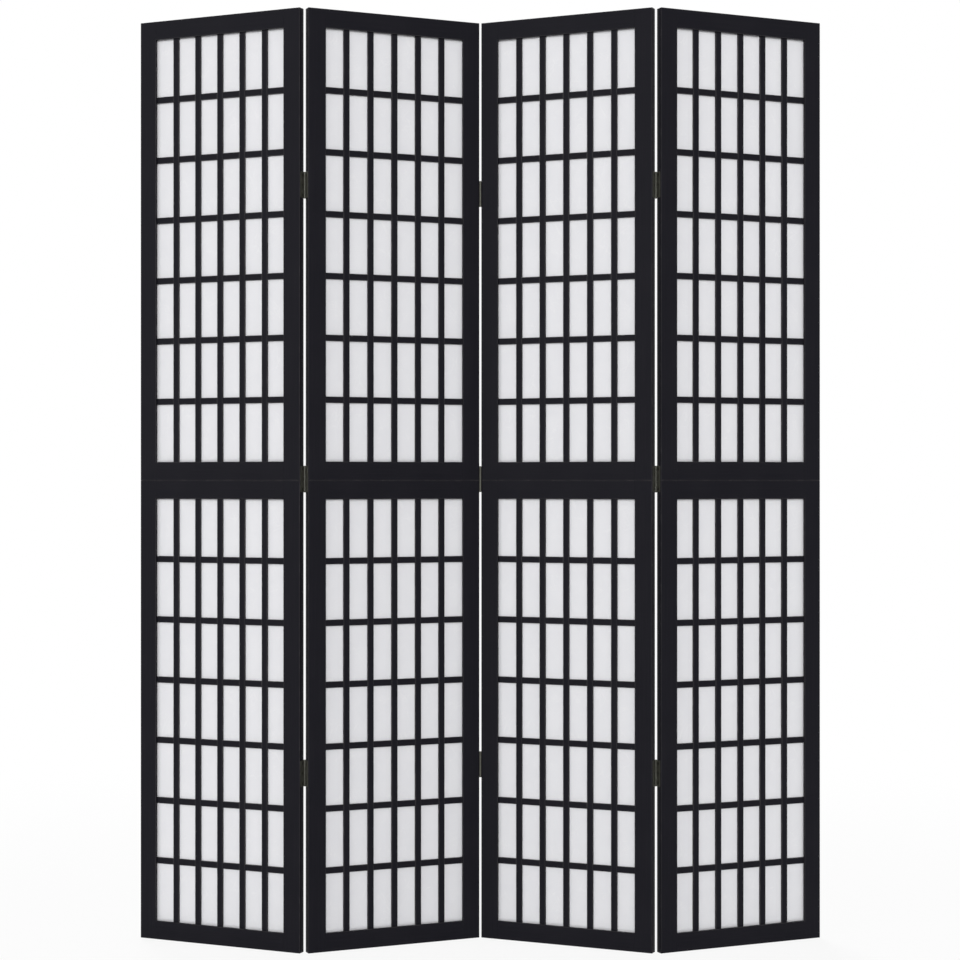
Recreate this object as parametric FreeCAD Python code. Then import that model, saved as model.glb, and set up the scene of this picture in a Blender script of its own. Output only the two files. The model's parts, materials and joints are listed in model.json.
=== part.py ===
"""Four-panel shoji folding screen, standing in a zigzag.

Millimetres, +Z up. The origin is on the floor under the middle of the standing screen.
Each panel is drawn in a frame of its own: x along its width, y from its front face to its
back face, z up. The four frames are then turned and set down along the zigzag.
"""
import FreeCAD, Part
import math
import os
from FreeCAD import Placement, Rotation, Vector

# ---- panels
panel_height = 1800.0
panel_width = 356.0
frame_thickness = 16.0
stile_width = 35.5
rail_width = 36.0
fold_angle = 24.0           # turn of each panel out of the screen's long direction, degrees
edge_break = 0.6            # small chamfer along the outer edges of the frame

# ---- lattice and paper
columns = 6
rows = 7
upright_width = 12.0
crossbar_width = 12.0
strip_thickness = 4.0
paper_thickness = 0.4
groove_depth = 6.0
groove_bottom_gap = 1.0     # left free beyond the ends of strips, paper and tenons

# ---- dowels between the two half frames
dowel_radius = 4.0
dowel_length = 40.0
dowel_inset = 90.0          # from the panel's edge to the dowel's centre
dowel_end_gap = 0.5

# ---- butt hinges
hinge_height = 50.0
hinge_spacing = 561.0       # from the middle hinge to the upper and to the lower one
hinge_lift = 2.5            # from the seam up to the centre of the middle hinge
leaf_thickness = 0.8
leaf_width = 12.7
leaf_corner_radius = 1.5
leaf_gap = 0.2              # between the two leaves of a folded hinge
leaf_setback = 0.3          # from the edge of the frame's face to the leaf
knuckle_radius = 2.2
knuckle_count = 5
knuckle_gap = 0.2           # between neighbouring knuckles, along the pin
knuckle_clearance = 0.1     # from the plane of the frame's face to the knuckles
pin_radius = 1.2
pin_head_radius = 1.7
pin_head_height = 0.6

# ---- hinge screws
screw_end_distance = 6.0    # from a leaf's end to its outermost screw
screw_shank_radius = 1.5
screw_length = 16.0
screw_point_length = 3.0
recess_length = 2.6         # cross recess in the head
recess_width = 0.6
recess_depth = 0.6

# ---- fits
running_clearance = 0.05    # radial, pin in knuckle, screw and dowel in hole

# ---- worked out from the values above
half_height = panel_height / 2
middle = half_height                                    # height of the seam
mid_depth = frame_thickness / 2
groove_width = 2 * strip_thickness + paper_thickness
reach = groove_depth - groove_bottom_gap                # of strips, paper and tenons in a groove
opening_left = stile_width
opening_right = panel_width - stile_width
opening_width = opening_right - opening_left
opening_height = half_height - 2 * rail_width
clear_column = (opening_width - (columns - 1) * upright_width) / columns
row_pitch = opening_height / rows
axis_beside = leaf_thickness + leaf_gap / 2             # from a panel's end to the hinge axis
axis_before = knuckle_radius + knuckle_clearance        # from a panel's face to the hinge axis
knuckle_length = (hinge_height - (knuckle_count - 1) * knuckle_gap) / knuckle_count
screw_pitch = hinge_height / 2 - screw_end_distance
screw_head_radius = screw_shank_radius + leaf_thickness
screw_depth = leaf_setback + leaf_width / 2             # from the panel's face to the screws
middle_hinge = middle + hinge_lift
hinge_heights = [middle_hinge - hinge_spacing, middle_hinge, middle_hinge + hinge_spacing]
cos_fold = math.cos(math.radians(fold_angle))
sin_fold = math.sin(math.radians(fold_angle))

# hinge axes on the floor plan
axis_step_x = (panel_width + 2 * axis_beside) * cos_fold + (frame_thickness + 2 * axis_before) * sin_fold
axis_step_y = (panel_width + 2 * axis_beside) * sin_fold - (frame_thickness + 2 * axis_before) * cos_fold
left_axis = Vector(-axis_step_x, -axis_step_y / 2, 0)
centre_axis = Vector(0, axis_step_y / 2, 0)
right_axis = Vector(axis_step_x, -axis_step_y / 2, 0)

# a hinge axis in the frame of a panel: (at the right end or not, behind the panel or not)
axis_places = {
    "right_back": Vector(panel_width + axis_beside, frame_thickness + axis_before, 0),
    "right_front": Vector(panel_width + axis_beside, -axis_before, 0),
    "left_back": Vector(-axis_beside, frame_thickness + axis_before, 0),
    "left_front": Vector(-axis_beside, -axis_before, 0),
}


def box(low, high):
    """A box between two corners."""
    size = high - low
    return Part.makeBox(size.x, size.y, size.z, low)


def rod(radius, length, base, direction):
    """A cylinder from a base point along a direction."""
    return Part.makeCylinder(radius, length, base, direction)


def break_edges(solid, chosen):
    """Chamfer the edges for which chosen(edge) is true."""
    edges = [edge for edge in solid.Edges if chosen(edge)]
    return solid.makeChamfer(edge_break, edges)


def is_at(edge, axis, value):
    """Whether an edge lies in the plane where a coordinate has a value."""
    bounds = edge.BoundBox
    low = getattr(bounds, axis + "Min")
    high = getattr(bounds, axis + "Max")
    return abs(low - value) < 1e-4 and abs(high - value) < 1e-4


def is_on_face(edge):
    """Whether an edge lies in the front or the back face of a frame piece."""
    return is_at(edge, "Y", 0) or is_at(edge, "Y", frame_thickness)


def is_level(edge):
    """Whether an edge runs level."""
    return edge.BoundBox.ZLength < 1e-4


def frame_box(left, right, bottom, top):
    """A board as thick as the frame."""
    return box(Vector(left, 0, bottom), Vector(right, frame_thickness, top))


def groove_box(left, right, bottom, top):
    """A board as thick as the grooves, in the middle of the frame's thickness."""
    front = mid_depth - groove_width / 2
    return box(Vector(left, front, bottom), Vector(right, front + groove_width, top))


# ---- holes that the hinges and dowels need

def screw_heights():
    """Every height at which a panel's end has a hinge screw."""
    heights = []
    for hinge in hinge_heights:
        steps = (-1, 1) if hinge == middle_hinge else (-1, 0, 1)
        heights += [hinge + step * screw_pitch for step in steps]
    return heights


def screw_places(place):
    """Where the screws enter a panel's end, and the direction in which they go in."""
    at_right = place.startswith("right")
    end = panel_width if at_right else 0.0
    depth = frame_thickness - screw_depth if place.endswith("back") else screw_depth
    inward = Vector(-1, 0, 0) if at_right else Vector(1, 0, 0)
    return [Vector(end, depth, height) for height in screw_heights()], inward


def screw_holes(places):
    """Pilot holes for the screws of all the hinges on a panel."""
    holes = []
    for place in places:
        points, inward = screw_places(place)
        for point in points:
            holes.append(rod(screw_shank_radius + running_clearance, screw_length, point, inward))
    return Part.makeCompound(holes)


def dowel_centres():
    """The dowels' centres, on the seam between the half frames."""
    return [Vector(x, mid_depth, middle) for x in (dowel_inset, panel_width - dowel_inset)]


def dowel_holes():
    """Holes for the dowels, in both middle rails."""
    half = dowel_length / 2 + dowel_end_gap
    radius = dowel_radius + running_clearance
    up = Vector(0, 0, 1)
    return Part.makeCompound([rod(radius, 2 * half, c - up * half, up) for c in dowel_centres()])


# ---- frame pieces of one panel

def stile(at_right, bottom, top, holes):
    """A stile of a half frame, grooved along its inner edge and drilled for the hinges."""
    if at_right:
        left, right, groove_left = opening_right, panel_width, opening_right
    else:
        left, right, groove_left = 0.0, stile_width, stile_width - groove_depth
    outer = right if at_right else left
    board = frame_box(left, right, bottom, top)
    board = break_edges(board, lambda edge: is_at(edge, "X", outer) or (is_on_face(edge) and is_level(edge)))
    return board.cut(groove_box(groove_left, groove_left + groove_depth, bottom, top)).cut(holes)


def rail(bottom, groove_above, holes):
    """A rail with its stub tenons, grooved along the edge at the opening."""
    top = bottom + rail_width
    outer = bottom if groove_above else top
    groove_bottom = top - groove_depth if groove_above else bottom
    tenon_bottom = bottom if groove_above else bottom + groove_depth
    tenon_top = tenon_bottom + rail_width - groove_depth
    board = frame_box(opening_left, opening_right, bottom, top)
    board = break_edges(board, lambda edge: is_at(edge, "Z", outer) and is_on_face(edge))
    board = board.cut(groove_box(opening_left, opening_right, groove_bottom, groove_bottom + groove_depth))
    for left in (opening_left - reach, opening_right):
        board = board.fuse(groove_box(left, left + reach, tenon_bottom, tenon_top))
    return board.removeSplitter().cut(holes)


def frame_pieces(places):
    """The eight frame pieces of a panel that has hinges at the named places."""
    screws = screw_holes(places)
    dowels = dowel_holes()
    nothing = Part.makeCompound([])
    return {
        "upper_left_stile": stile(False, middle, panel_height, screws),
        "upper_right_stile": stile(True, middle, panel_height, screws),
        "lower_left_stile": stile(False, 0.0, middle, screws),
        "lower_right_stile": stile(True, 0.0, middle, screws),
        "top_rail": rail(panel_height - rail_width, False, nothing),
        "upper_middle_rail": rail(middle, True, dowels),
        "lower_middle_rail": rail(middle - rail_width, False, dowels),
        "bottom_rail": rail(0.0, True, nothing),
    }


# ---- lattice, paper and dowels of one panel

def opening_bottoms():
    """The lower edges of a panel's two openings."""
    return [rail_width, middle + rail_width]


def upright_lefts():
    """The left edges of the upright strips."""
    step = clear_column + upright_width
    return [opening_left + step * k - upright_width for k in range(1, columns)]


def crossbar_bottoms(opening_bottom):
    """The lower edges of the cross strips in one opening."""
    return [opening_bottom + row_pitch * k - crossbar_width / 2 for k in range(1, rows)]


def crossings(lefts, bottoms, depths):
    """The boxes where uprights and cross strips meet, between two depths."""
    near, far = depths
    return Part.makeCompound([box(Vector(x, near, z), Vector(x + upright_width, far, z + crossbar_width))
                              for x in lefts for z in bottoms])


def lattice(front):
    """Strips of both openings, half lapped where they cross, with their outer faces flush."""
    strips = []
    outer = front
    inner = front + strip_thickness
    lap = front + strip_thickness / 2
    before_paper = front < mid_depth
    upright_lap = (lap, inner) if before_paper else (outer, lap)
    crossbar_lap = (outer, lap) if before_paper else (lap, inner)
    for opening_bottom in opening_bottoms():
        bottom = opening_bottom - reach
        top = opening_bottom + opening_height + reach
        left = opening_left - reach
        right = opening_right + reach
        bars = crossbar_bottoms(opening_bottom)
        for x in upright_lefts():
            strip = box(Vector(x, outer, bottom), Vector(x + upright_width, inner, top))
            strips.append(strip.cut(crossings([x], bars, upright_lap)))
        for z in bars:
            strip = box(Vector(left, outer, z), Vector(right, inner, z + crossbar_width))
            strips.append(strip.cut(crossings(upright_lefts(), [z], crossbar_lap)))
    return Part.makeCompound(strips)


def paper():
    """A sheet of paper in each opening, between the two lattices."""
    front = mid_depth - paper_thickness / 2
    sheets = []
    for opening_bottom in opening_bottoms():
        low = Vector(opening_left - reach, front, opening_bottom - reach)
        high = Vector(opening_right + reach, front + paper_thickness, opening_bottom + opening_height + reach)
        sheets.append(box(low, high))
    return Part.makeCompound(sheets)


def dowels():
    """The dowels that line up the two half frames."""
    up = Vector(0, 0, 1)
    return Part.makeCompound([rod(dowel_radius, dowel_length, c - up * dowel_length / 2, up)
                              for c in dowel_centres()])


# ---- hinges

def screw(point, inward):
    """A countersunk wood screw whose head is flush with the hinge leaf."""
    head_top = point - inward * leaf_thickness
    taper_start = screw_length - screw_point_length
    clearance = running_clearance
    head = Part.makeCone(screw_head_radius - clearance, screw_shank_radius - clearance,
                         leaf_thickness, head_top, inward)
    shank = rod(screw_shank_radius - clearance, taper_start, point, inward)
    tip_base = point + inward * taper_start
    tip = Part.makeCone(screw_shank_radius - clearance, 0, screw_point_length, tip_base, inward)
    body = head.fuse([shank, tip]).removeSplitter()
    bars = []
    for along_z in (True, False):
        half_y = (recess_width if along_z else recess_length) / 2
        half_z = (recess_length if along_z else recess_width) / 2
        corner = Vector(0, half_y, half_z)
        depth = inward * recess_depth
        first = head_top - corner
        second = head_top + corner + depth
        low = Vector(min(first.x, second.x), first.y, first.z)
        high = Vector(max(first.x, second.x), second.y, second.z)
        bars.append(box(low, high))
    return body.cut(Part.makeCompound(bars))


def hinge_screws(places):
    """All the hinge screws of a panel."""
    solids = []
    for place in places:
        points, inward = screw_places(place)
        solids += [screw(point, inward) for point in points]
    return Part.makeCompound(solids)


def knuckle_spans(bottom, first):
    """Bottoms of every other knuckle of a hinge, starting with number 0 or 1."""
    step = knuckle_length + knuckle_gap
    return [bottom + step * k for k in range(first, knuckle_count, 2)]


def leaf(place, hinge, first_knuckle):
    """A hinge leaf on a panel's end: a plate with countersunk holes and rolled knuckles."""
    at_right = place.startswith("right")
    behind = place.endswith("back")
    axis = axis_places[place]
    end = panel_width if at_right else 0.0
    outward = 1.0 if at_right else -1.0
    away = -1.0 if behind else 1.0                      # from the knuckles towards the plate
    face = frame_thickness if behind else 0.0
    bottom = hinge - hinge_height / 2
    near = face + away * leaf_setback
    far = near + away * leaf_width
    root = axis.y + away * (pin_radius + running_clearance + knuckle_radius) / 2
    x_low = min(end, end + outward * leaf_thickness)
    x_high = x_low + leaf_thickness

    def slab(y1, y2, z1, z2):
        """A box as thick as the leaf, against the panel's end."""
        return box(Vector(x_low, min(y1, y2), z1), Vector(x_high, max(y1, y2), z2))

    plate = slab(near, far, bottom, bottom + hinge_height)
    corners = [e for e in plate.Edges if is_at(e, "Y", far) and e.Length < 2 * leaf_thickness]
    plate = plate.makeFillet(leaf_corner_radius, corners)
    knuckles = []
    for z in knuckle_spans(bottom, first_knuckle):
        knuckles.append(slab(near, root, z, z + knuckle_length))
        knuckles.append(rod(knuckle_radius, knuckle_length, Vector(axis.x, axis.y, z), Vector(0, 0, 1)))
    solid = plate.fuse(knuckles).removeSplitter()
    bore = rod(pin_radius + running_clearance, hinge_height, Vector(axis.x, axis.y, bottom), Vector(0, 0, 1))
    cuts = [bore]
    points, inward = screw_places(place)
    for point in points:
        if abs(point.z - hinge) < hinge_height / 2:
            cuts.append(Part.makeCone(screw_head_radius, screw_shank_radius, leaf_thickness,
                                      point - inward * leaf_thickness, inward))
    return solid.cut(Part.makeCompound(cuts))


def leaves(place, first_knuckle):
    """The three leaves of one fold on one panel."""
    return Part.makeCompound([leaf(place, hinge, first_knuckle) for hinge in hinge_heights])


def pins(axes):
    """The pins of the folds at the named axes, headed at both ends."""
    up = Vector(0, 0, 1)
    solids = []
    for axis in axes:
        for hinge in hinge_heights:
            bottom = axis + up * (hinge - hinge_height / 2)
            top = bottom + up * hinge_height
            stem = rod(pin_radius, hinge_height, bottom, up)
            heads = [rod(pin_head_radius, pin_head_height, top, up),
                     rod(pin_head_radius, pin_head_height, bottom - up * pin_head_height, up)]
            solids.append(stem.fuse(heads).removeSplitter())
    return Part.makeCompound(solids)


# ---- the screen

def panel_placement(turn, axis, place):
    """Where a panel goes: turned about Z, with the named axis place on a hinge axis."""
    rotation = Rotation(Vector(0, 0, 1), turn)
    return Placement(axis - rotation.multVec(axis_places[place]), rotation)


def placed(shape, placement):
    """A copy of a shape, set down at a placement."""
    copy = shape.copy()
    copy.Placement = placement
    return copy


panels = {
    "panel_1": (panel_placement(-fold_angle, left_axis, "right_back"), ["right_back"]),
    "panel_2": (panel_placement(fold_angle, left_axis, "left_back"), ["left_back", "right_front"]),
    "panel_3": (panel_placement(-fold_angle, centre_axis, "left_front"), ["left_front", "right_back"]),
    "panel_4": (panel_placement(fold_angle, right_axis, "left_back"), ["left_back"]),
}

# the panel and place of each row of leaves, and the number of its first knuckle
leaf_rows = {
    "left_fold_leaves_on_panel_1": ("panel_1", "right_back", 1),
    "left_fold_leaves_on_panel_2": ("panel_2", "left_back", 0),
    "centre_fold_leaves_on_panel_2": ("panel_2", "right_front", 0),
    "centre_fold_leaves_on_panel_3": ("panel_3", "left_front", 1),
    "right_fold_leaves_on_panel_3": ("panel_3", "right_back", 0),
    "right_fold_leaves_on_panel_4": ("panel_4", "left_back", 1),
}

nodes = {}
shared = {
    "dowels": dowels(),
    "paper": paper(),
    "front_lattice": lattice(mid_depth - paper_thickness / 2 - strip_thickness),
    "back_lattice": lattice(mid_depth + paper_thickness / 2),
}
for panel, (placement, places) in panels.items():
    pieces = {**frame_pieces(places), **shared, "hinge_screws": hinge_screws(places)}
    for piece, shape in pieces.items():
        nodes[panel + "_" + piece] = placed(shape, placement)
for name, (panel, place, first_knuckle) in leaf_rows.items():
    nodes[name] = placed(leaves(place, first_knuckle), panels[panel][0])
nodes["panel_2_hinge_pins"] = pins([left_axis, centre_axis])
nodes["panel_3_hinge_pins"] = pins([right_axis])

os.makedirs("parts", exist_ok=True)
for name, shape in nodes.items():
    shape.exportStep("parts/" + name + ".step")
print("nodes", len(nodes), "solids", sum(len(shape.Solids) for shape in nodes.values()))
for name, axis in (("left_fold", left_axis), ("centre_fold", centre_axis), ("right_fold", right_axis)):
    print(name, "axis at x", round(axis.x, 3), "y", round(axis.y, 3))
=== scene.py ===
"""Looks of a four-panel shoji folding screen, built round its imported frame.

Metres, +Z up, in the frame of the solids. Each finish is a small class that makes procedural
materials; each sub-assembly is a class that dresses its solids and makes its soft pieces.
"""

import json
import logging
import math
import random
from collections.abc import Mapping, Sequence
from dataclasses import dataclass, field
from enum import Enum
from typing import Any, ClassVar

import bmesh
import bpy
from mathutils import Matrix, Vector

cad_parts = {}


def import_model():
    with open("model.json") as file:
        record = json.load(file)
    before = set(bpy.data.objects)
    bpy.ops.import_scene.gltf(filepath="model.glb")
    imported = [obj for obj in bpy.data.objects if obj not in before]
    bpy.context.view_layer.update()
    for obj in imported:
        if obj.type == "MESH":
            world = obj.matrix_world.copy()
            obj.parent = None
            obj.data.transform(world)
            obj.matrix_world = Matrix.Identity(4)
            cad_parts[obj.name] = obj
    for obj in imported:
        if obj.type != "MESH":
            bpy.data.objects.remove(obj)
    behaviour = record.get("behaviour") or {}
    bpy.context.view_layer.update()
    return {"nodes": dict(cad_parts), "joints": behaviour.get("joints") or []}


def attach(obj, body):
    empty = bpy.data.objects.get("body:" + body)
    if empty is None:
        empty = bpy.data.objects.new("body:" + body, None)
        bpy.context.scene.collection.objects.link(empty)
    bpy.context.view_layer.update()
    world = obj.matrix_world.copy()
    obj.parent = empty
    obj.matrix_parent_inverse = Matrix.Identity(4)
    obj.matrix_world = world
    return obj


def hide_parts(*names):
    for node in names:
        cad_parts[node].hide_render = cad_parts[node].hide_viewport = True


LOG = logging.getLogger("shoji_screen")
MILLIMETRE = 0.001
WHITE = (1.0, 1.0, 1.0, 1.0)
NOISE_MIDDLE = 0.5
WELD_DISTANCE = 0.01 * MILLIMETRE
SHARP_ANGLE = math.radians(50)
ROUNDING_STEPS = 2

# The Mix node has sockets for every kind of value. These are the numbers of those for colours.
MIX_FACTOR = 0
MIX_FIRST = 6
MIX_SECOND = 7
MIX_RESULT = 2

Triple = tuple[float, float, float]
Colour = Triple
Pair = tuple[float, float]
Band = Pair
Points = list[list[bmesh.types.BMVert]]


class Grain(Enum):
    """Which pieces a lacquered surface is made of, and so how its grain runs."""

    FRAME = "frame"
    LATTICE = "lattice"


class Half(Enum):
    """The two half frames of a panel."""

    LOWER = "lower"
    UPPER = "upper"


class Wire:
    """A number or vector that flows through a material, with ordinary arithmetic."""

    def __init__(self, graph: "Graph", socket: bpy.types.NodeSocket | None) -> None:
        """Wrap an output socket of a graph."""
        self.graph = graph
        self.socket = socket

    def maths(self, operation: str, *values: "Wire | float") -> "Wire":
        """Add a Math node and return its result."""
        return self.graph.node("ShaderNodeMath", {"operation": operation}, dict(enumerate(values)))

    def __add__(self, other: "Wire | float") -> "Wire":
        """This plus another."""
        return self.maths("ADD", self, other)

    __radd__ = __add__

    def __sub__(self, other: "Wire | float") -> "Wire":
        """This minus another."""
        return self.maths("SUBTRACT", self, other)

    def __rsub__(self, other: float) -> "Wire":
        """A number minus this."""
        return self.maths("SUBTRACT", other, self)

    def __mul__(self, other: "Wire | float") -> "Wire":
        """This times another."""
        return self.maths("MULTIPLY", self, other)

    __rmul__ = __mul__

    def __truediv__(self, other: "Wire | float") -> "Wire":
        """This over another."""
        return self.maths("DIVIDE", self, other)

    def __gt__(self, other: "Wire | float") -> "Wire":
        """1 where this is greater."""
        return self.maths("GREATER_THAN", self, other)

    def __lt__(self, other: "Wire | float") -> "Wire":
        """1 where this is less."""
        return self.maths("LESS_THAN", self, other)

    def __abs__(self) -> "Wire":
        """This without its sign."""
        return self.maths("ABSOLUTE", self)

    def floor(self) -> "Wire":
        """The whole number below this."""
        return self.maths("FLOOR", self)

    def fraction(self) -> "Wire":
        """What this has beyond its whole number."""
        return self.maths("FRACT", self)

    def highest(self, other: "Wire | float") -> "Wire":
        """The greater of this and another."""
        return self.maths("MAXIMUM", self, other)

    def between(self, low: float, high: float) -> "Wire":
        """A smooth step of this from 0 at low to 1 at high."""
        sockets = {"Value": self, "From Min": low, "From Max": high}
        return self.graph.node("ShaderNodeMapRange", {"interpolation_type": "SMOOTHSTEP"}, sockets)


@dataclass(frozen=True)
class Texture:
    """How fine and how rough a noise is."""

    scale: float
    detail: float = 3.0
    roughness: float = 0.5


class Graph:
    """The nodes of one material, or of the world."""

    def __init__(self, name: str, owners: bpy.types.bpy_prop_collection | None = None) -> None:
        """Make an empty material, or an empty one of what else a collection holds.

        Args:
            name: Its name.
            owners: The collection; the materials, if it isn't given.
        """
        self.owner = (bpy.data.materials if owners is None else owners).new(name)
        self.owner.use_nodes = True
        self.owner.node_tree.nodes.clear()

    def node(
        self,
        kind: str,
        settings: Mapping[str, Any] | None = None,
        sockets: Mapping[str | int, Any] | None = None,
        output: str | int = 0,
    ) -> Wire:
        """Add a node.

        Args:
            kind: The node's type.
            settings: Its own properties.
            sockets: Values or wires of its inputs, by name or number.
            output: Which of its outputs to return.

        Returns:
            The wire that leaves the node.
        """
        made = self.owner.node_tree.nodes.new(kind)
        for name, value in (settings or {}).items():
            setattr(made, name, value)
        for name, value in (sockets or {}).items():
            if isinstance(value, Wire):
                self.owner.node_tree.links.new(value.socket, made.inputs[name])
            else:
                made.inputs[name].default_value = value
        return Wire(self, made.outputs[output] if made.outputs else None)

    def vector(self, operation: str, *values: Any) -> Wire:
        """Add a Vector Math node and return its result."""
        return self.node("ShaderNodeVectorMath", {"operation": operation}, dict(enumerate(values)))

    def blend(self, factor: Wire | float, first: Any, second: Any) -> Wire:
        """Mix two colours.

        Args:
            factor: How much of the second there is.
            first: A colour or its wire.
            second: Another.

        Returns:
            The mixed colour.
        """
        settings = {"data_type": "RGBA", "clamp_factor": True}
        pair = [(*value, 1.0) if isinstance(value, tuple) else value for value in (first, second)]
        sockets = {MIX_FACTOR: factor, MIX_FIRST: pair[0], MIX_SECOND: pair[1]}
        return self.node("ShaderNodeMix", settings, sockets, MIX_RESULT)

    def place(self) -> Wire:
        """The place on a surface, in the piece's own axes."""
        return self.node("ShaderNodeTexCoord", output="Object")

    def noise(self, place: Wire, texture: Texture) -> Wire:
        """Add a noise texture.

        Args:
            place: Where it is read.
            texture: Its fineness and roughness.

        Returns:
            The noise, from 0 to 1.
        """
        sockets = {"Vector": place, "Scale": texture.scale, "Detail": texture.detail,
                   "Roughness": texture.roughness}
        return self.node("ShaderNodeTexNoise", {"noise_dimensions": "3D"}, sockets)

    def bump(self, height: Wire, strength: float, distance: float) -> Wire:
        """A normal that follows a height."""
        sockets = {"Height": height, "Strength": strength, "Distance": distance}
        return self.node("ShaderNodeBump", None, sockets)

    def seen_directly(self) -> Wire:
        """Tell the rays that show a surface itself.

        Returns:
            1 for rays from the camera, from a mirroring surface or through glass.
        """
        rays = ("Is Camera Ray", "Is Glossy Ray", "Is Transmission Ray")
        straight, mirrored, through = [self.node("ShaderNodeLightPath", output=ray) for ray in rays]
        return straight.highest(mirrored).highest(through)

    def finish(self, shader: Wire) -> bpy.types.Material:
        """Join the last shader to the output and return the material."""
        self.node("ShaderNodeOutputMaterial", None, {"Surface": shader})
        return self.owner


@dataclass(frozen=True)
class PanelSizes:
    """Sizes that every panel shares."""

    height: float = 1800 * MILLIMETRE
    width: float = 356 * MILLIMETRE
    thickness: float = 16 * MILLIMETRE
    stile: float = 35.5 * MILLIMETRE
    rail: float = 36 * MILLIMETRE
    strip: float = 12 * MILLIMETRE
    columns: int = 6
    rows: int = 7
    paper_reach: float = 5 * MILLIMETRE
    axis_beside: float = 0.9 * MILLIMETRE
    axis_before: float = 2.3 * MILLIMETRE
    fold_angle: float = math.radians(24)

    @property
    def middle(self) -> float:
        """The height of the seam between the half frames."""
        return self.height / 2

    @property
    def opening_width(self) -> float:
        """The clear width between the stiles."""
        return self.width - 2 * self.stile

    @property
    def opening_height(self) -> float:
        """The clear height between the rails of a half frame."""
        return self.middle - 2 * self.rail

    @property
    def column_step(self) -> float:
        """From one upright strip to the next."""
        return (self.opening_width + self.strip) / self.columns

    @property
    def row_step(self) -> float:
        """From one cross strip to the next."""
        return self.opening_height / self.rows

    def opening_bottom(self, half: Half) -> float:
        """The height of the lower edge of a half frame's opening."""
        return self.rail + (self.middle if half is Half.UPPER else 0.0)


@dataclass(frozen=True)
class PanelFrame:
    """Where a panel stands: its front left corner on the floor, and its turn about Z."""

    origin: Vector
    turn: float

    @property
    def matrix(self) -> Matrix:
        """From the panel's own axes to the screen's."""
        return Matrix.Translation(self.origin) @ Matrix.Rotation(self.turn, 4, "Z")

    def local(self, graph: Graph) -> Wire:
        """Turn the place on a surface into the panel's own axes.

        Args:
            graph: The material that asks.

        Returns:
            The place, from the panel's front left corner on the floor.
        """
        sockets = {"Vector": graph.place(), "Center": self.origin, "Angle": -self.turn}
        turned = graph.node("ShaderNodeVectorRotate", {"rotation_type": "Z_AXIS"}, sockets)
        return graph.vector("SUBTRACT", turned, self.origin)


@dataclass(frozen=True)
class Boards:
    """The woodwork at a place.

    upright is 1 on upright boards and 0 on level ones, number tells neighbouring boards apart,
    and edge rises to 1 at a board's edges.
    """

    upright: Wire
    number: Wire
    edge: Wire


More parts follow.
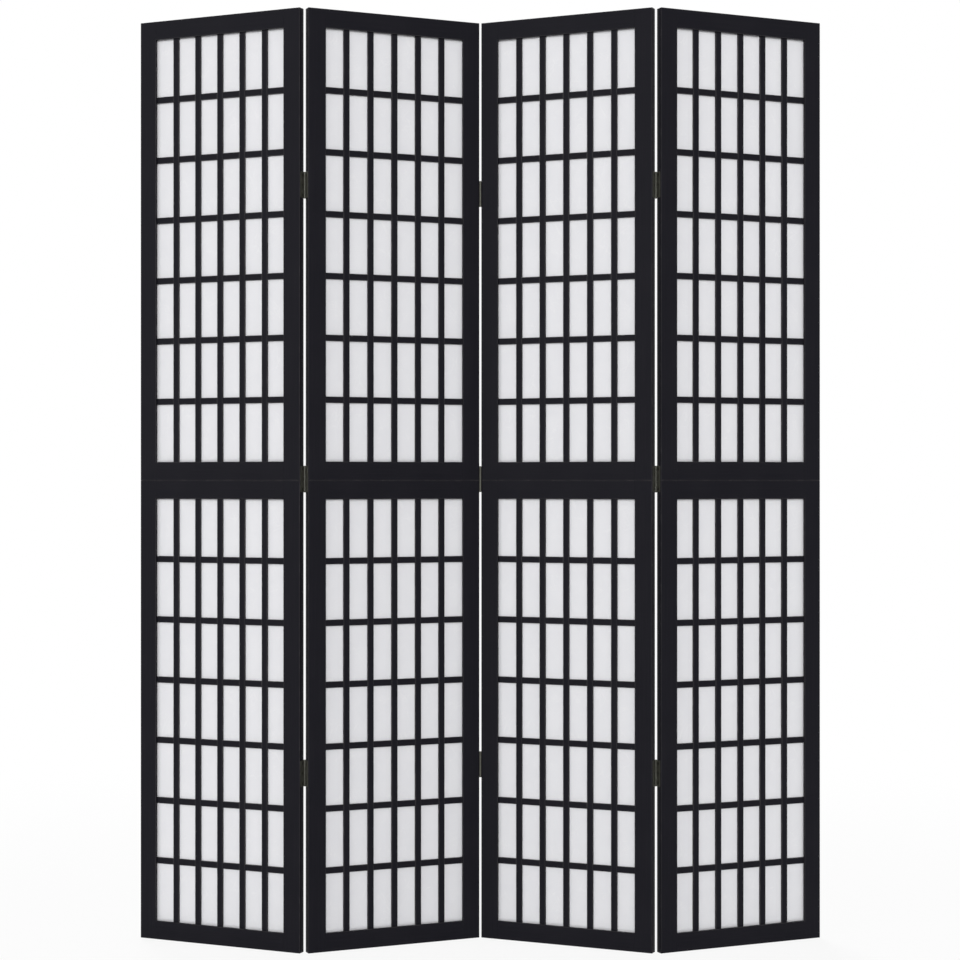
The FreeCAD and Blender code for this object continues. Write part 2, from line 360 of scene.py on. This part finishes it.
@dataclass(frozen=True)
class Lacquer:
    """Satin black lacquer that lets a little of the wood's grain show as relief; its edges are painted
    lighter, as a painted highlight and as rubbed wear.
    """

    colour: Colour = (0.0053, 0.0051, 0.0081)
    thin_colour: Colour = (0.0084, 0.0079, 0.0111)
    # The lighter colour of the edges and the seam: a painted highlight where they would catch light, and
    # rubbed wear.
    rubbed_colour: Colour = (0.0400, 0.0375, 0.0400)
    shine: float = 0.08
    roughness: float = 0.48
    fibre_roughness: float = 0.14
    cloud_roughness: float = 0.07
    grain_across: float = 420.0
    grain_along: float = 7.0
    fibres: Texture = Texture(1.0, 4.0, 0.55)
    rings: Texture = Texture(1.0, 2.0, 0.4)
    rings_to_fibres: Triple = (0.16, 0.16, 0.5)
    film: Texture = Texture(900.0, 2.0)
    cloud: Texture = Texture(9.0)
    rubbing: Texture = Texture(38.0, 4.0, 0.6)
    thin_on_fibres: Band = (0.35, 0.75)
    thin_in_clouds: Band = (0.4, 0.7)
    fibre_tint: float = 0.6
    cloud_tint: float = 0.4
    rubbed_patches: Band = (0.46, 0.70)
    # The painted highlight that lies evenly along every edge and the seam, how much of the lighter colour
    # it and the rubbed patches give, and how much smoother they make the edges.
    even_edge_sheen: float = 0.75
    sheen_and_wear_tint: float = 0.6
    sheen_and_wear_polish: float = 0.1
    edge_reach: float = 1.8 * MILLIMETRE
    fibre_relief: float = 0.55
    ring_relief: float = 0.75
    film_relief: float = 0.12
    relief_strength: float = 0.32
    relief_depth: float = 0.16 * MILLIMETRE
    # How far the grain shifts from one board to the next, so that no two boards look alike.
    frame_shifts: Pair = (3.0, 1.7)
    strip_shifts: Pair = (2.3, 1.9)
    shift_along: float = 4.1

    def nearness(self, place: Wire, lines: Sequence[float]) -> Wire:
        """Measure how near a coordinate is to the nearest of several values.

        Args:
            place: The coordinate.
            lines: The values.

        Returns:
            1 at a value, falling to 0 at the edges' reach from it.
        """
        nearest = None
        for line in lines:
            near = 1.0 - abs(place - line) / self.edge_reach
            nearest = near if nearest is None else nearest.highest(near)
        return nearest.highest(0.0)

    def frame_boards(self, place: Sequence[Wire], sizes: PanelSizes) -> Boards:
        """Tell the frame's stiles and rails apart.

        Args:
            place: A place in the panel, along its three axes.
            sizes: The panel's sizes.

        Returns:
            The board there.
        """
        x, y, z = place
        across_shift, up_shift = self.frame_shifts
        upright = (x < sizes.stile).highest(x > sizes.width - sizes.stile)
        number = across_shift * (x > sizes.width / 2) + up_shift * (z / (sizes.middle / 2)).floor()
        beside_opening = abs(abs(z - sizes.middle) - sizes.middle / 2) < sizes.opening_height / 2
        inner_edges = self.nearness(x, [sizes.stile, sizes.width - sizes.stile]) * beside_opening
        ends = self.nearness(z, [0.0, sizes.middle, sizes.height])
        stile_edges = self.nearness(x, [0.0, sizes.width]).highest(inner_edges).highest(ends)
        rail_edges = self.nearness(z, [0.0, sizes.rail, sizes.middle - sizes.rail, sizes.middle,
                                       sizes.middle + sizes.rail, sizes.height - sizes.rail, sizes.height])
        edge = stile_edges * upright + rail_edges * (1.0 - upright)
        return Boards(upright, number, edge * self.nearness(y, [0.0, sizes.thickness]))

    def lattice_boards(self, place: Sequence[Wire], sizes: PanelSizes) -> Boards:
        """Tell the lattice's uprights and cross strips apart.

        Args:
            place: A place in the panel, along its three axes.
            sizes: The panel's sizes.

        Returns:
            The strip there.
        """
        x, _, z = place
        across_shift, up_shift = self.strip_shifts
        strip_share = sizes.strip / sizes.column_step
        half_cell = 0.5
        column = (x - sizes.stile) / sizes.column_step
        row = (z - (z > sizes.middle) * sizes.middle - sizes.rail) / sizes.row_step + half_cell
        upright = column.fraction() > 1.0 - strip_share
        level = 1.0 - upright
        number = across_shift * column.floor() * upright + up_shift * row.floor() * level
        off_upright = abs(column.fraction() - (1.0 - strip_share / 2)) * sizes.column_step
        off_crossbar = abs(row.fraction() - half_cell) * sizes.row_step
        side_edge, level_edge = [1.0 - abs(off_middle - sizes.strip / 2) / self.edge_reach
                                 for off_middle in (off_upright, off_crossbar)]
        return Boards(upright, number, side_edge.highest(level_edge * level).highest(0.0))

    def material(self, name: str, sizes: PanelSizes, where: PanelFrame, grain: Grain) -> bpy.types.Material:
        """Make the lacquer of one panel's frame or lattice.

        Args:
            name: The material's name.
            sizes: The panel's sizes.
            where: Where the panel stands.
            grain: Which pieces it is for.

        Returns:
            The material.
        """
        graph = Graph(name)
        local = where.local(graph)
        place = [graph.node("ShaderNodeSeparateXYZ", None, {0: local}, axis) for axis in range(3)]
        tell_boards = self.frame_boards if grain is Grain.FRAME else self.lattice_boards
        boards = tell_boards(place, sizes)
        x, y, z = place
        upright, level = boards.upright, 1.0 - boards.upright
        across = x * upright + z * level + boards.number
        along = z * upright + x * level + self.shift_along * boards.number
        drawn = graph.node("ShaderNodeCombineXYZ", None, {
            0: self.grain_across * across, 1: self.grain_across * y, 2: self.grain_along * along})
        fibres = graph.noise(drawn, self.fibres)
        rings = graph.noise(graph.vector("MULTIPLY", drawn, self.rings_to_fibres), self.rings)
        film = graph.noise(local, self.film)
        cloud = graph.noise(local, self.cloud)
        patches = graph.noise(local, self.rubbing).between(*self.rubbed_patches)
        # Edges and the seam painted lighter: an even painted highlight along every edge, plus rubbed wear
        # in patches.
        sheen_and_wear = (self.even_edge_sheen + patches) * boards.edge
        thin = (self.fibre_tint * fibres.between(*self.thin_on_fibres)
                + self.cloud_tint * cloud.between(*self.thin_in_clouds))
        body = graph.blend(thin, self.colour, self.thin_colour)
        roughness = (self.roughness + self.fibre_roughness * (fibres - NOISE_MIDDLE)
                     + self.cloud_roughness * (cloud - NOISE_MIDDLE) - self.sheen_and_wear_polish * sheen_and_wear)
        relief = self.fibre_relief * fibres + self.ring_relief * rings + self.film_relief * film
        return graph.finish(graph.node("ShaderNodeBsdfPrincipled", None, {
            "Base Color": graph.blend(self.sheen_and_wear_tint * sheen_and_wear, body, self.rubbed_colour),
            "Roughness": roughness,
            "Specular IOR Level": self.shine,
            "Normal": graph.bump(relief, self.relief_strength, self.relief_depth)}))


@dataclass(frozen=True)
class Fibre:
    """One direction in which long fibres lie in the paper."""

    turn: float
    scale: float
    stretch: float


@dataclass(frozen=True)
class ShojiPaper:
    """White translucent paper with long pale fibres pressed into it."""

    colour: Colour = (0.792, 0.792, 0.812)
    cloud_colour: Colour = (0.770, 0.771, 0.795)
    fibre_colour: Colour = (0.830, 0.830, 0.842)
    roughness: float = 0.86
    shine: float = 0.22
    glow: float = 0.16
    cloud: Texture = Texture(26.0, 4.0, 0.6)
    felt: Texture = Texture(520.0, 5.0, 0.65)
    patches: Texture = Texture(30.0, 1.0)
    cloudy: Band = (0.35, 0.68)
    fibrous: Band = (0.46, 0.6)
    cloud_tint: float = 0.7
    felt_tint: float = 0.35
    fibre_tint: float = 0.8
    fibres: tuple[Fibre, ...] = (Fibre(0.5, 62.0, 0.22), Fibre(1.9, 78.0, 0.18), Fibre(2.8, 55.0, 0.26))
    fibre_detail: float = 1.5
    fibre_roughness: float = 0.35
    fibre_width: float = 0.012
    felt_relief: float = 0.6
    fibre_relief: float = 0.5
    cloud_relief: float = 0.6
    relief_strength: float = 0.22
    relief_depth: float = 0.12 * MILLIMETRE

    def fibre_lines(self, graph: Graph, local: Wire) -> Wire:
        """Draw the fibres, along the thin lines where stretched noises have their middle value.

        Args:
            graph: The paper's graph.
            local: The place in the panel.

        Returns:
            1 along a fibre, 0 beside it.
        """
        lines = None
        for fibre in self.fibres:
            sockets = {"Vector": local, "Angle": fibre.turn}
            turned = graph.node("ShaderNodeVectorRotate", {"rotation_type": "Y_AXIS"}, sockets)
            drawn = graph.vector("MULTIPLY", turned, (1.0, 1.0, fibre.stretch))
            noise = graph.noise(drawn, Texture(fibre.scale, self.fibre_detail, self.fibre_roughness))
            line = 1.0 - abs(noise - NOISE_MIDDLE) / self.fibre_width
            lines = line if lines is None else lines.highest(line)
        return lines.highest(0.0) * graph.noise(local, self.patches).between(*self.fibrous)

    def material(self, name: str, where: PanelFrame) -> bpy.types.Material:
        """Make the paper of one panel.

        Args:
            name: The material's name.
            where: Where the panel stands.

        Returns:
            The material.
        """
        graph = Graph(name)
        local = where.local(graph)
        cloud = graph.noise(local, self.cloud)
        felt = graph.noise(local, self.felt)
        fibres = self.fibre_lines(graph, local)
        tint = self.cloud_tint * cloud.between(*self.cloudy) + self.felt_tint * (felt - NOISE_MIDDLE)
        base = graph.blend(tint, self.colour, self.cloud_colour)
        relief = self.felt_relief * felt + self.fibre_relief * fibres + self.cloud_relief * cloud
        face = graph.node("ShaderNodeBsdfPrincipled", None, {
            "Base Color": graph.blend(self.fibre_tint * fibres, base, self.fibre_colour),
            "Roughness": self.roughness,
            "Specular IOR Level": self.shine,
            "Normal": graph.bump(relief, self.relief_strength, self.relief_depth)})
        through = graph.node("ShaderNodeBsdfTranslucent", None, {"Color": (*self.colour, 1.0)})
        return graph.finish(graph.node("ShaderNodeMixShader", None, {0: self.glow, 1: face, 2: through}))


@dataclass(frozen=True)
class DarkMetal:
    """Bronzed or oiled steel, rubbed bright here and there."""

    colour: Colour
    rubbed_colour: Colour
    roughness: float
    metallic: float = 0.9
    patina: Texture = Texture(160.0, 4.0, 0.6)
    brushing: Texture = Texture(2600.0, 2.0)
    brushed_along: Triple = (1.0, 1.0, 0.08)
    rubbed_patches: Band = (0.52, 0.74)
    rubbed_tint: float = 0.7
    patina_roughness: float = 0.25
    brushed_roughness: float = 0.12
    patina_relief: float = 0.5
    brushed_relief: float = 0.5
    relief_strength: float = 0.25
    relief_depth: float = 0.08 * MILLIMETRE

    def material(self, name: str) -> bpy.types.Material:
        """Make the metal.

        Args:
            name: The material's name.

        Returns:
            The material.
        """
        graph = Graph(name)
        place = graph.place()
        patina = graph.noise(place, self.patina)
        brushed = graph.noise(graph.vector("MULTIPLY", place, self.brushed_along), self.brushing)
        rubbed = self.rubbed_tint * patina.between(*self.rubbed_patches)
        roughness = (self.roughness + self.patina_roughness * (patina - NOISE_MIDDLE)
                     + self.brushed_roughness * (brushed - NOISE_MIDDLE))
        relief = self.brushed_relief * brushed + self.patina_relief * patina
        return graph.finish(graph.node("ShaderNodeBsdfPrincipled", None, {
            "Base Color": graph.blend(rubbed, self.colour, self.rubbed_colour),
            "Metallic": self.metallic,
            "Roughness": roughness,
            "Normal": graph.bump(relief, self.relief_strength, self.relief_depth)}))


@dataclass(frozen=True)
class BareWood:
    """Turned beech, left bare."""

    colour: Colour = (0.50, 0.34, 0.20)
    fleck_colour: Colour = (0.36, 0.22, 0.12)
    roughness: float = 0.62
    fleck_roughness: float = 0.1
    flecks: Texture = Texture(900.0, 3.0, 0.6)
    flecks_along: Triple = (1.0, 1.0, 0.12)
    flecked: Band = (0.5, 0.7)
    relief_strength: float = 0.3
    relief_depth: float = 0.1 * MILLIMETRE

    def material(self, name: str) -> bpy.types.Material:
        """Make the wood.

        Args:
            name: The material's name.

        Returns:
            The material.
        """
        graph = Graph(name)
        flecks = graph.noise(graph.vector("MULTIPLY", graph.place(), self.flecks_along), self.flecks)
        return graph.finish(graph.node("ShaderNodeBsdfPrincipled", None, {
            "Base Color": graph.blend(flecks.between(*self.flecked), self.colour, self.fleck_colour),
            "Roughness": self.roughness + self.fleck_roughness * flecks,
            "Normal": graph.bump(flecks, self.relief_strength, self.relief_depth)}))


def soften_edges(piece: bpy.types.Object, width: float) -> None:
    """Round the sharp edges of a solid a little, as planing and paint leave them.

    Args:
        piece: The piece.
        width: How far each rounding reaches from its edge.
    """
    weld = piece.modifiers.new("weld", "WELD")
    weld.merge_threshold = WELD_DISTANCE
    bevel = piece.modifiers.new("soft_edges", "BEVEL")
    bevel.width = width
    bevel.segments = ROUNDING_STEPS
    bevel.limit_method = "ANGLE"
    bevel.angle_limit = SHARP_ANGLE
    bevel.use_clamp_overlap = False
    piece.modifiers.new("flat_faces", "WEIGHTED_NORMAL")


def dress(piece: bpy.types.Object, material: bpy.types.Material) -> None:
    """Give a piece one material, and report it.

    Args:
        piece: The piece.
        material: Its material.
    """
    piece.data.materials.clear()
    piece.data.materials.append(material)
    LOG.info("%s: %s", piece.name, material.name)


@dataclass
class PaperSheet:
    """One sheet of paper, stretched in a half frame between its two lattices."""

    name: str
    half: Half
    sizes: PanelSizes
    where: PanelFrame
    seed: int
    thickness: float = 0.3 * MILLIMETRE
    slack: float = 0.32 * MILLIMETRE
    fullness: float = 0.7
    steps_across: int = 8
    steps_up: int = 16
    bulges: dict[tuple[int, int], float] = field(init=False)

    def __post_init__(self) -> None:
        """Choose how far the paper stands out in the middle of each cell."""
        chance = random.Random(self.seed)
        cells = [(column, row) for column in range(self.sizes.columns) for row in range(self.sizes.rows)]
        self.bulges = {cell: chance.uniform(-1.0, 1.0) * self.slack for cell in cells}

    @property
    def flat(self) -> Pair:
        """The width and height to which the sheet was cut."""
        reach = 2 * self.sizes.paper_reach
        return self.sizes.opening_width + reach, self.sizes.opening_height + reach

    @property
    def first_row(self) -> float:
        """The height at which the lowest row of cells begins to stand out."""
        return self.sizes.opening_bottom(self.half) + self.sizes.strip / 2

    @property
    def clear_cell(self) -> Pair:
        """The clear width and height of a cell."""
        return self.sizes.column_step - self.sizes.strip, self.sizes.row_step - self.sizes.strip

    @staticmethod
    def stations(count: int, start: float, step: float, clear: float, steps: int,
                 reach: float) -> list[float]:
        """Find where the mesh has lines, along one direction.

        Args:
            count: How many cells there are.
            start: Where the first cell begins.
            step: From one cell to the next.
            clear: A cell's clear width.
            steps: How many faces each cell has.
            reach: How far the sheet goes on beyond the first and the last cell.

        Returns:
            The places, rising.
        """
        places = [start - reach]
        for cell in range(count):
            places += [start + cell * step + clear * k / steps for k in range(steps + 1)]
        places.append(places[-1] + reach)
        return places

    def swell(self, x: float, z: float) -> float:
        """Work out how far the paper stands out at a place.

        Args:
            x: The place across the panel.
            z: Its height.

        Returns:
            The distance towards the back.
        """
        column = (x - self.sizes.stile) / self.sizes.column_step
        row = (z - self.first_row) / self.sizes.row_step
        cell = (math.floor(column), math.floor(row))
        clear_across, clear_up = self.clear_cell
        across = (column - cell[0]) * self.sizes.column_step / clear_across
        up = (row - cell[1]) * self.sizes.row_step / clear_up
        if cell not in self.bulges or not (0 < across < 1 and 0 < up < 1):
            return 0.0
        dome = math.sin(math.pi * across) * math.sin(math.pi * up)
        return self.bulges[cell] * dome ** self.fullness

    def side(self, mesh: bmesh.types.BMesh, across: list[float], up: list[float], towards: int) -> Points:
        """Add the points of the front, towards -1, or of the back, towards 1, row by row."""
        depth = self.sizes.thickness / 2 + towards * self.thickness / 2
        return [[mesh.verts.new((x, depth + self.swell(x, z), z)) for x in across] for z in up]

    @staticmethod
    def wrap(mesh: bmesh.types.BMesh, front: Points, back: Points) -> None:
        """Close the sheet's two sides and its rim with faces.

        Args:
            mesh: The mesh to add them to.
            front: The points of the front, row by row.
            back: The points of the back, row by row.
        """
        rows = range(len(front) - 1)
        columns = range(len(front[0]) - 1)
        corners = [(side[j][i], side[j][i + 1], side[j + 1][i + 1], side[j + 1][i])
                   for side in (front, back) for j in rows for i in columns]
        corners += [(front[j][i], front[j][i + 1], back[j][i + 1], back[j][i])
                    for j in (0, -1) for i in columns]
        corners += [(front[j][i], front[j + 1][i], back[j + 1][i], back[j][i])
                    for i in (0, -1) for j in rows]
        for four in corners:
            mesh.faces.new(four).smooth = True
        bmesh.ops.recalc_face_normals(mesh, faces=mesh.faces)

    def make(self, material: bpy.types.Material) -> bpy.types.Object:
        """Build the sheet as a thin closed solid.

        Args:
            material: Its paper.

        Returns:
            The sheet, in place.
        """
        sizes = self.sizes
        clear_across, clear_up = self.clear_cell
        across = self.stations(sizes.columns, sizes.stile, sizes.column_step, clear_across,
                               self.steps_across, sizes.paper_reach)
        up = self.stations(sizes.rows, self.first_row, sizes.row_step, clear_up,
                           self.steps_up, sizes.paper_reach + sizes.strip / 2)
        mesh = bmesh.new()
        front = self.side(mesh, across, up, -1)
        back = self.side(mesh, across, up, 1)
        self.wrap(mesh, front, back)
        data = bpy.data.meshes.new(self.name)
        mesh.to_mesh(data)
        mesh.free()
        data.transform(self.where.matrix)
        piece = bpy.data.objects.new(self.name, data)
        bpy.context.scene.collection.objects.link(piece)
        dress(piece, material)
        return piece


@dataclass
class Panel:
    """One panel: two half frames with their lattices and paper."""

    number: int
    where: PanelFrame
    nodes: Mapping[str, bpy.types.Object]
    sizes: PanelSizes
    lacquer: Lacquer = Lacquer()
    paper: ShojiPaper = ShojiPaper()
    frame_softness: float = 0.35 * MILLIMETRE
    strip_softness: float = 0.3 * MILLIMETRE
    seeds_apart: int = 10

    frame_pieces: ClassVar[tuple[str, ...]] = (
        "upper_left_stile", "upper_right_stile", "lower_left_stile", "lower_right_stile",
        "top_rail", "upper_middle_rail", "lower_middle_rail", "bottom_rail")
    lattice_pieces: ClassVar[tuple[str, ...]] = ("front_lattice", "back_lattice")

    @property
    def name(self) -> str:
        """The panel's body and the start of its pieces' names."""
        return f"panel_{self.number}"

    def dress_wood(self) -> None:
        """Lacquer the frame pieces and the lattices."""
        for grain, pieces, softness in ((Grain.FRAME, self.frame_pieces, self.frame_softness),
                                        (Grain.LATTICE, self.lattice_pieces, self.strip_softness)):
            label = f"{self.name}_{grain.value}_lacquer"
            material = self.lacquer.material(label, self.sizes, self.where, grain)
            for piece in pieces:
                node = self.nodes[f"{self.name}_{piece}"]
                dress(node, material)
                soften_edges(node, softness)

    def add_paper(self) -> None:
        """Put a sheet of paper in each half frame."""
        material = self.paper.material(f"{self.name}_shoji_paper", self.where)
        for place, half in enumerate(Half):
            seed = self.seeds_apart * self.number + place
            sheet = PaperSheet(f"{self.name}_{half.value}_paper_sheet", half, self.sizes, self.where, seed)
            piece = sheet.make(material)
            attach(piece, self.name)
            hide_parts(f"{self.name}_paper")
            sheet.flat

    def build(self) -> None:
        """Dress the panel and add its paper."""
        self.dress_wood()
        self.add_paper()


@dataclass
class Fittings:
    """The hinges, their pins and screws, and the dowels hidden in the middle rails."""

    nodes: Mapping[str, bpy.types.Object]
    bronze: DarkMetal = DarkMetal((0.054, 0.054, 0.043), (0.105, 0.104, 0.088), 0.46, metallic=0.45)
    pin_steel: DarkMetal = DarkMetal((0.160, 0.152, 0.135), (0.300, 0.290, 0.260), 0.38)
    screw_steel: DarkMetal = DarkMetal((0.045, 0.042, 0.036), (0.130, 0.122, 0.100), 0.40)
    beech: BareWood = BareWood()
    leaf_softness: float = 0.12 * MILLIMETRE

    def build(self) -> None:
        """Dress every fitting."""
        leaves = "_leaves_on_"
        finishes = {
            leaves: self.bronze.material("hinge_bronze"),
            "_hinge_pins": self.pin_steel.material("pin_steel"),
            "_hinge_screws": self.screw_steel.material("screw_steel"),
            "_dowels": self.beech.material("dowel_beech"),
        }
        for name, node in self.nodes.items():
            for part_of_name, material in finishes.items():
                if part_of_name in name:
                    dress(node, material)
            if leaves in name:
                soften_edges(node, self.leaf_softness)


@dataclass(frozen=True)
class SoftSun:
    """A wide, even light from far off.

    Its bearing is measured from the camera's side, positive to the camera's left. Bearing, height
    and width are in degrees.
    """

    name: str
    bearing: float
    height: float
    strength: float
    width: float
    distance: float = 5.0

    def hang(self) -> None:
        """Add the light to the scene."""
        data = bpy.data.lights.new(self.name, "SUN")
        data.energy = self.strength
        data.angle = math.radians(self.width)
        light = bpy.data.objects.new(self.name, data)
        bearing, height = math.radians(self.bearing), math.radians(self.height)
        towards = Vector((-math.sin(bearing) * math.cos(height), -math.cos(bearing) * math.cos(height),
                          math.sin(height)))
        light.rotation_euler = towards.to_track_quat("Z", "Y").to_euler()
        light.location = towards * self.distance
        bpy.context.scene.collection.objects.link(light)


@dataclass
class Studio:
    """A plain pale floor, a white surround, soft lights and the camera."""

    sizes: PanelSizes
    suns: tuple[SoftSun, ...] = (
        SoftSun("key_light", -1.0, 12.0, 1.72, 18.0),
        SoftSun("side_light", 50.0, 8.0, 0.38, 30.0),
        SoftSun("back_light", 165.0, 36.0, 1.55, 26.0),
    )
    floor_radius: float = 40.0
    floor_sides: int = 64
    floor_drop: float = 0.3 * MILLIMETRE
    floor_colour: Colour = (0.86, 0.86, 0.86)
    floor_roughness: float = 0.9
    floor_shine: float = 0.1
    near_whiteness: float = 0.89
    white_from: float = 0.7
    white_beyond: float = 3.0
    surround_level: float = 0.44
    image_size: float = 960.0
    focal_pixels: float = 2161.2
    centre_pixels: Pair = (480.33, 480.40)
    camera_distance: float = 4253.0 * MILLIMETRE
    camera_reach: float = 100.0
    sensor: float = 36.0

    def add_floor(self) -> None:
        """Lay the floor, which turns as white as the surround away from the screen."""
        mesh = bmesh.new()
        bmesh.ops.create_circle(mesh, cap_ends=True, segments=self.floor_sides, radius=self.floor_radius)
        data = bpy.data.meshes.new("floor")
        mesh.to_mesh(data)
        mesh.free()
        data.transform(Matrix.Translation((0.0, 0.0, -self.floor_drop)))
        floor = bpy.data.objects.new("floor", data)
        bpy.context.scene.collection.objects.link(floor)
        graph = Graph("pale_floor")
        matt = graph.node("ShaderNodeBsdfPrincipled", None, {
            "Base Color": (*self.floor_colour, 1.0), "Roughness": self.floor_roughness,
            "Specular IOR Level": self.floor_shine})
        white = graph.node("ShaderNodeEmission", None, {"Color": WHITE, "Strength": 1.0})
        distance = graph.node("ShaderNodeVectorMath", {"operation": "LENGTH"}, {0: graph.place()}, "Value")
        far = distance.between(self.white_from, self.white_beyond)
        share = graph.seen_directly() * (self.near_whiteness + (1.0 - self.near_whiteness) * far)
        dress(floor, graph.finish(graph.node("ShaderNodeMixShader", None, {0: share, 1: matt, 2: white})))

    def add_surround(self) -> None:
        """Set the world: white to look at, a soft even light on the screen."""
        graph = Graph("surround", bpy.data.worlds)
        soft, seen = [graph.node("ShaderNodeBackground", None, {"Color": WHITE, "Strength": strength})
                      for strength in (self.surround_level, 1.0)]
        mixed = graph.node("ShaderNodeMixShader", None, {0: graph.seen_directly(), 1: soft, 2: seen})
        graph.node("ShaderNodeOutputWorld", None, {"Surface": mixed})
        bpy.context.scene.world = graph.owner

    def add_camera(self, axis_depth: float) -> None:
        """Stand the camera before the screen, level with its middle.

        Args:
            axis_depth: The middle fold's place along Y.
        """
        data = bpy.data.cameras.new("camera")
        data.sensor_width = self.sensor
        data.lens = self.focal_pixels / self.image_size * self.sensor
        half = self.image_size / 2
        data.shift_x = (half - self.centre_pixels[0]) / self.image_size
        data.shift_y = (self.centre_pixels[1] - half) / self.image_size
        data.clip_end = self.camera_reach
        level_gaze = math.radians(90)
        camera = bpy.data.objects.new("camera", data)
        camera.location = (0.0, axis_depth - self.camera_distance, self.sizes.middle)
        camera.rotation_euler = (level_gaze, 0.0, 0.0)
        bpy.context.scene.collection.objects.link(camera)
        bpy.context.scene.camera = camera

    def build(self, axis_depth: float) -> None:
        """Set up everything that isn't the screen.

        Args:
            axis_depth: The middle fold's place along Y.
        """
        self.add_floor()
        self.add_surround()
        for sun in self.suns:
            sun.hang()
        self.add_camera(axis_depth)
        bpy.context.scene.view_settings.view_transform = "Standard"
        LOG.info("studio: floor, surround, lights and camera")


def panel_frames(axes: Mapping[str, Vector], sizes: PanelSizes) -> list[PanelFrame]:
    """Work out where the four panels stand, from the folds' hinge axes.

    Args:
        axes: The axes on the floor, by the folds' names.
        sizes: The panels' sizes.

    Returns:
        One frame for each panel, from left to right.
    """
    behind = sizes.thickness + sizes.axis_before
    right_back = Vector((sizes.width + sizes.axis_beside, behind, 0.0))
    left_back = Vector((-sizes.axis_beside, behind, 0.0))
    left_front = Vector((-sizes.axis_beside, -sizes.axis_before, 0.0))
    turn = sizes.fold_angle
    hangings = (("left_fold", -turn, right_back), ("left_fold", turn, left_back),
                ("centre_fold", -turn, left_front), ("right_fold", turn, left_back))
    return [PanelFrame(axes[fold] - Matrix.Rotation(angle, 3, "Z") @ place, angle)
            for fold, angle, place in hangings]


def main() -> None:
    """Build the screen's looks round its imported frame."""
    logging.basicConfig(level=logging.INFO, format="%(name)s %(message)s")
    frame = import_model()
    sizes = PanelSizes()
    axes = {joint["name"]: Vector((*joint["pos_m"][:2], 0.0)) for joint in frame["joints"]}
    for number, where in enumerate(panel_frames(axes, sizes), 1):
        Panel(number, where, frame["nodes"], sizes).build()
    Fittings(frame["nodes"]).build()
    Studio(sizes).build(axes["centre_fold"].y)


if __name__ == "__main__":
    main()
